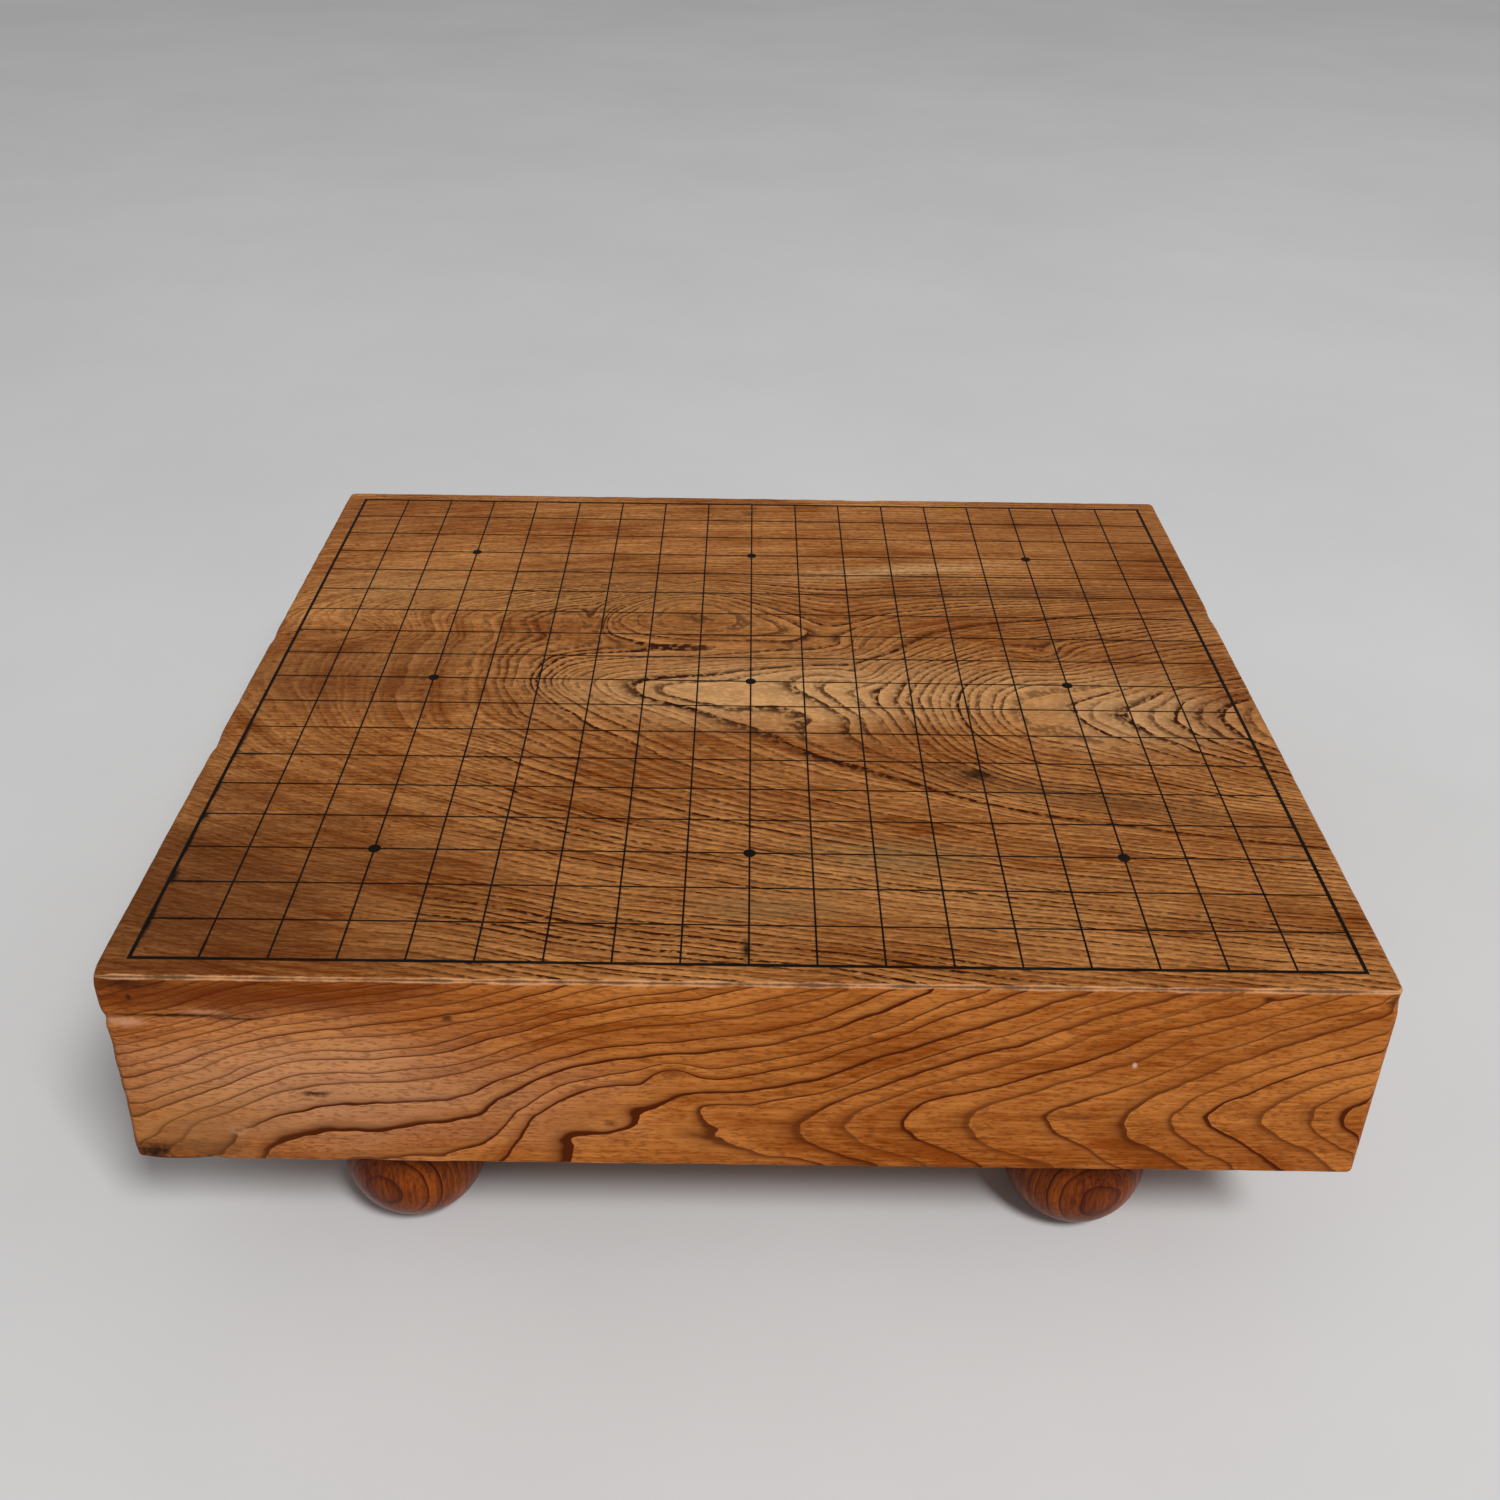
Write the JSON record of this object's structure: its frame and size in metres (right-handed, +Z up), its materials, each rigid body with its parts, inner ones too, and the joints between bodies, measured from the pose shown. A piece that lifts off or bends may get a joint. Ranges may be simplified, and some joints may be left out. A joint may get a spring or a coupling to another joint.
{
  "type": "weiqi board",
  "caption": "Thick floor-standing wooden block with a lacquered square grid on top and turned ball feet that plug into its underside, for playing weiqi.",
  "frame": {"origin": "on the floor, under the middle of the block", "axes": "+Z up, +X along the block's length, the players sit at -Y and +Y"},
  "size_m": [0.448, 0.416, 0.1472],
  "materials": {
    "block_wood": "planed and oiled zelkova, satin, worn at the edges",
    "foot_wood": "turned zelkova with a dark glossy stain",
    "lacquer": "black lacquer, semi-gloss, drawn as a raised film"
  },
  "bodies": {
    "board": {"board_block": "block_wood", "border_line": "lacquer", "grid_lines": "lacquer", "star_points": "lacquer"},
    "front_left_foot": {"foot_front_left": "foot_wood"},
    "front_right_foot": {"foot_front_right": "foot_wood"},
    "back_left_foot": {"foot_back_left": "foot_wood"},
    "back_right_foot": {"foot_back_right": "foot_wood"}
  },
  "joints": [
    {"name": "front_left_foot_pull", "type": "slide", "parent": "board", "child": "front_left_foot", "axis": [0, 0, -1], "range_m": [0, 0.03]},
    {"name": "front_right_foot_pull", "type": "slide", "parent": "board", "child": "front_right_foot", "axis": [0, 0, -1], "range_m": [0, 0.03]},
    {"name": "back_left_foot_pull", "type": "slide", "parent": "board", "child": "back_left_foot", "axis": [0, 0, -1], "range_m": [0, 0.03]},
    {"name": "back_right_foot_pull", "type": "slide", "parent": "board", "child": "back_right_foot", "axis": [0, 0, -1], "range_m": [0, 0.03]}
  ]
}
